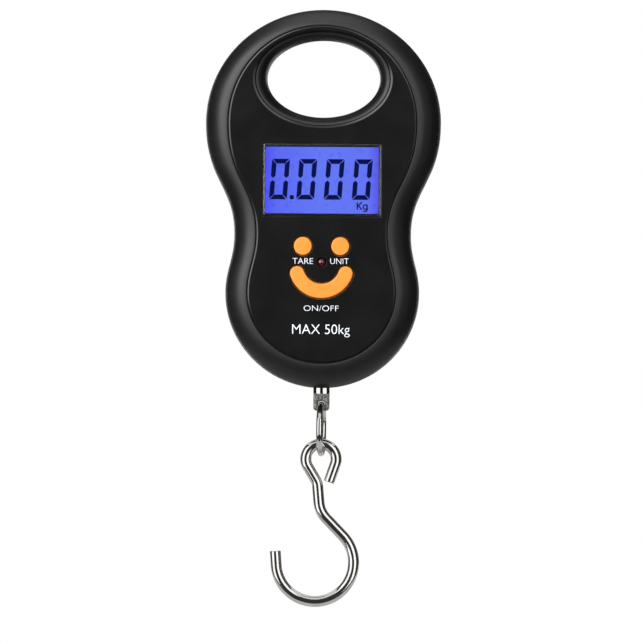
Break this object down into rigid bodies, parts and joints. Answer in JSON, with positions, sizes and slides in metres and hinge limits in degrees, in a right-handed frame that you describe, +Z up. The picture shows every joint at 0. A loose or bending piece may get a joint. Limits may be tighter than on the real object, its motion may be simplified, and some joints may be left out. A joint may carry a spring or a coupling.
{
  "type": "digital hanging scale",
  "caption": "Handheld hanging scale with an hourglass casing, handle hole, backlit display, round and curved keys, battery door, and a load-cell tongue carrying a ring and an S-shaped hook.",
  "frame": {"origin": "the point that the scale hangs from: middle of the top edge of the handle hole, in the parting plane of the shells", "axes": "+Z up along the hanging line, +X to the right of a person who reads the display, -Y out of the display"},
  "size_m": [0.0776, 0.0262, 0.1971],
  "materials": {
    "shell_black": "satin, fine spark texture",
    "panel_black": "matt",
    "window_clear": "clear",
    "lcd_blue": "lit from behind",
    "backlight_white": "diffusing",
    "frame_white": "moulded",
    "connector_pink": "matt",
    "board_green": "solder mask",
    "chip_black": "epoxy",
    "component_tan": "moulded",
    "switch_metal": "plated",
    "plunger_black": "moulded",
    "key_orange": "matt silicone",
    "led_red": "clear lens, unlit",
    "cell_alloy": "machined",
    "gauge_amber": "film",
    "bracket_steel": "stamped",
    "screw_steel": "plated",
    "wire_jacket": "insulation",
    "tongue_steel": "grainy cast surface",
    "plated_wire": "bright nickel plate",
    "battery_wrap": "shrink wrap",
    "contact_nickel": "nickel plate"
  },
  "bodies": {
    "housing": {"front_shell": "shell_black", "rear_shell": "shell_black", "face_panel": "panel_black", "lcd_window": "window_clear", "lcd_glass": "lcd_blue", "lcd_backlight": "backlight_white", "lcd_frame": "frame_white", "lcd_connector": "connector_pink", "circuit_board": "board_green", "controller_chip": "chip_black", "board_components": "component_tan", "tact_switches": "switch_metal", "led_indicator": "led_red", "load_cell": "cell_alloy", "strain_gauges": "gauge_amber", "load_cell_bracket": "bracket_steel", "load_cell_screws": "screw_steel", "load_cell_wires": "wire_jacket", "hook_plate": "tongue_steel", "hook_plate_pin": "screw_steel", "battery_1": "battery_wrap", "battery_2": "battery_wrap", "battery_springs": "contact_nickel", "battery_contacts": "contact_nickel", "battery_wires": "wire_jacket", "housing_screws": "screw_steel", "board_screws": "screw_steel"},
    "tare_key": {"tare_button": "key_orange", "tare_plunger": "plunger_black"},
    "unit_key": {"unit_button": "key_orange", "unit_plunger": "plunger_black"},
    "power_key": {"power_button": "key_orange", "power_plunger": "plunger_black"},
    "door": {"battery_door": "shell_black"},
    "ring": {"link_ring": "plated_wire"},
    "hook": {"hook": "plated_wire"}
  },
  "joints": [
    {"name": "tare_press", "type": "slide", "parent": "housing", "child": "tare_key", "axis": [0, 1, 0], "range_m": [0, 0.0006], "stiffness_N_per_m": 1000, "springref_m": -0.0008},
    {"name": "unit_press", "type": "slide", "parent": "housing", "child": "unit_key", "axis": [0, 1, 0], "range_m": [0, 0.0006], "stiffness_N_per_m": 1000, "springref_m": -0.0008},
    {"name": "power_press", "type": "slide", "parent": "housing", "child": "power_key", "axis": [0, 1, 0], "range_m": [0, 0.0006], "stiffness_N_per_m": 1000, "springref_m": -0.0008},
    {"name": "door_tilt", "type": "hinge", "parent": "housing", "child": "door", "pos_m": [0, 0.013, -0.0854], "axis": [-1, 0, 0], "range_deg": [0, 80]},
    {"name": "ring_swing", "type": "hinge", "parent": "housing", "child": "ring", "pos_m": [0, 0, -0.1201], "axis": [0.0523, 0.9986, 0], "range_deg": [-70, 70]},
    {"name": "hook_swing", "type": "hinge", "parent": "ring", "child": "hook", "pos_m": [0, 0, -0.13312], "axis": [1, 0, 0], "range_deg": [-80, 80]}
  ]
}
